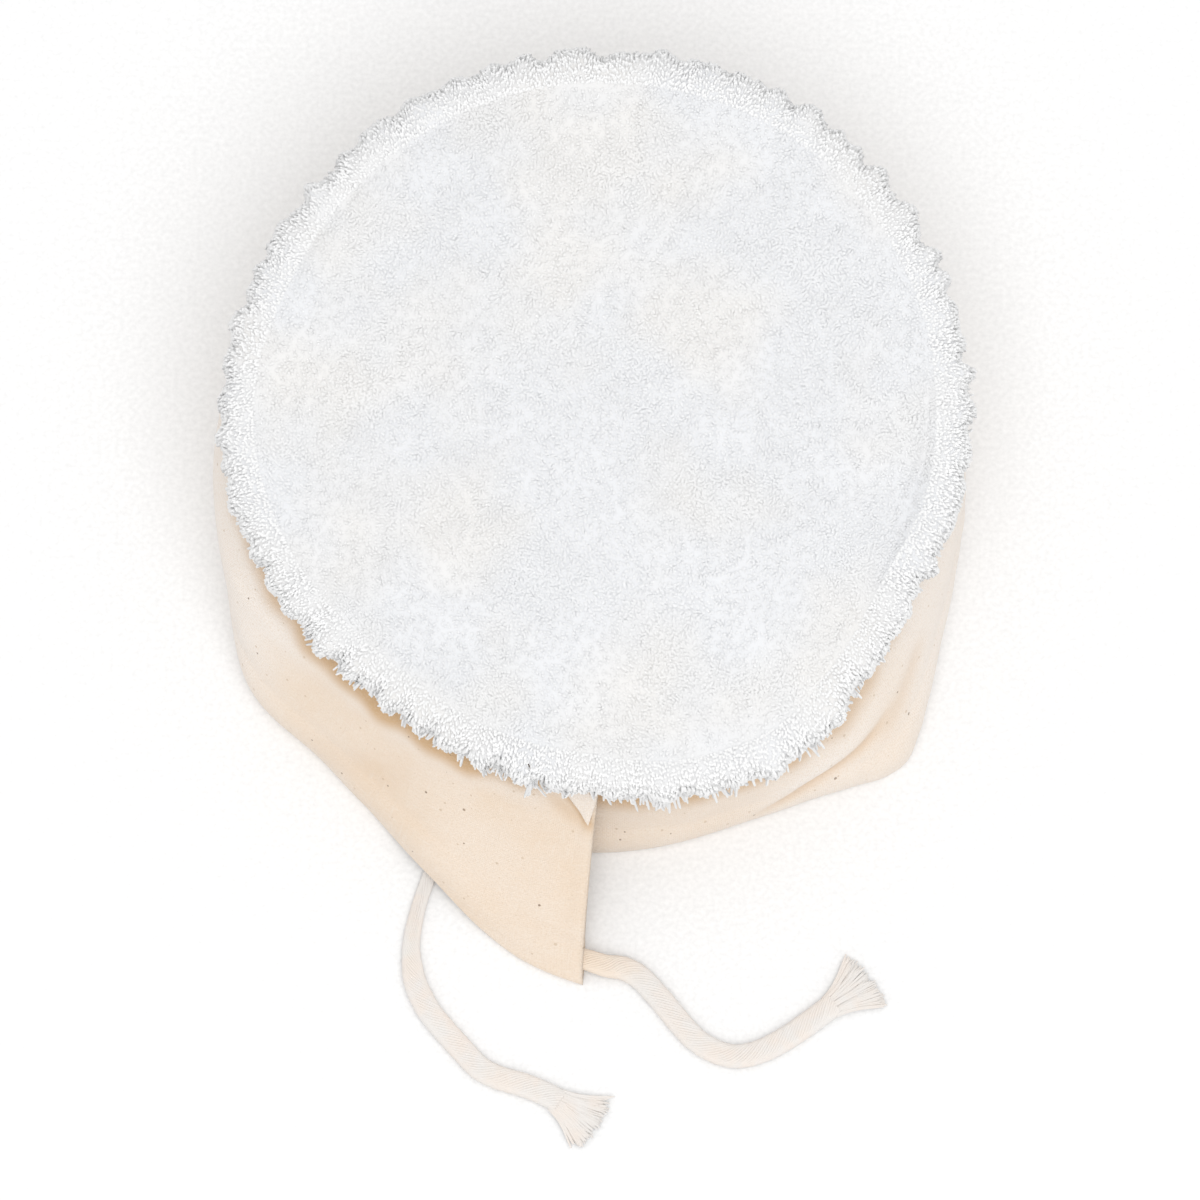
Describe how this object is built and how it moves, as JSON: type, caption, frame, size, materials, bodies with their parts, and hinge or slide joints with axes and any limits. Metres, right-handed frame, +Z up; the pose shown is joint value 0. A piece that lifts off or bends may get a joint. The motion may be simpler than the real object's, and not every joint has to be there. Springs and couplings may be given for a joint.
{
  "type": "polishing bonnet",
  "caption": "Tie-on polishing bonnet: round white terry face with tufted rim, unbleached canvas skirt lapped at the front, hollow hem with a cotton drawstring whose frayed ends lie loose.",
  "frame": {"origin": "on the surface the bonnet stands on, under the middle of the crown and skirt taken together", "axes": "+Z up, -Y towards the lapped front where the cord's ends come out, +X to the right seen from the front"},
  "size_m": [0.1867, 0.2631, 0.059],
  "materials": {
    "terry": "bluish-white cotton terry pile, matt",
    "canvas": "unbleached plain-weave cotton with dark seed flecks, matt",
    "cotton_cord": "loosely twisted natural cotton, matt"
  },
  "bodies": {
    "root": {"terry_crown": "terry", "canvas_skirt": "canvas", "drawstring_in_hem": "cotton_cord", "drawstring_end_left": "cotton_cord", "drawstring_end_right": "cotton_cord", "frayed_tip_left": "cotton_cord", "frayed_tip_right": "cotton_cord"}
  },
  "joints": []
}
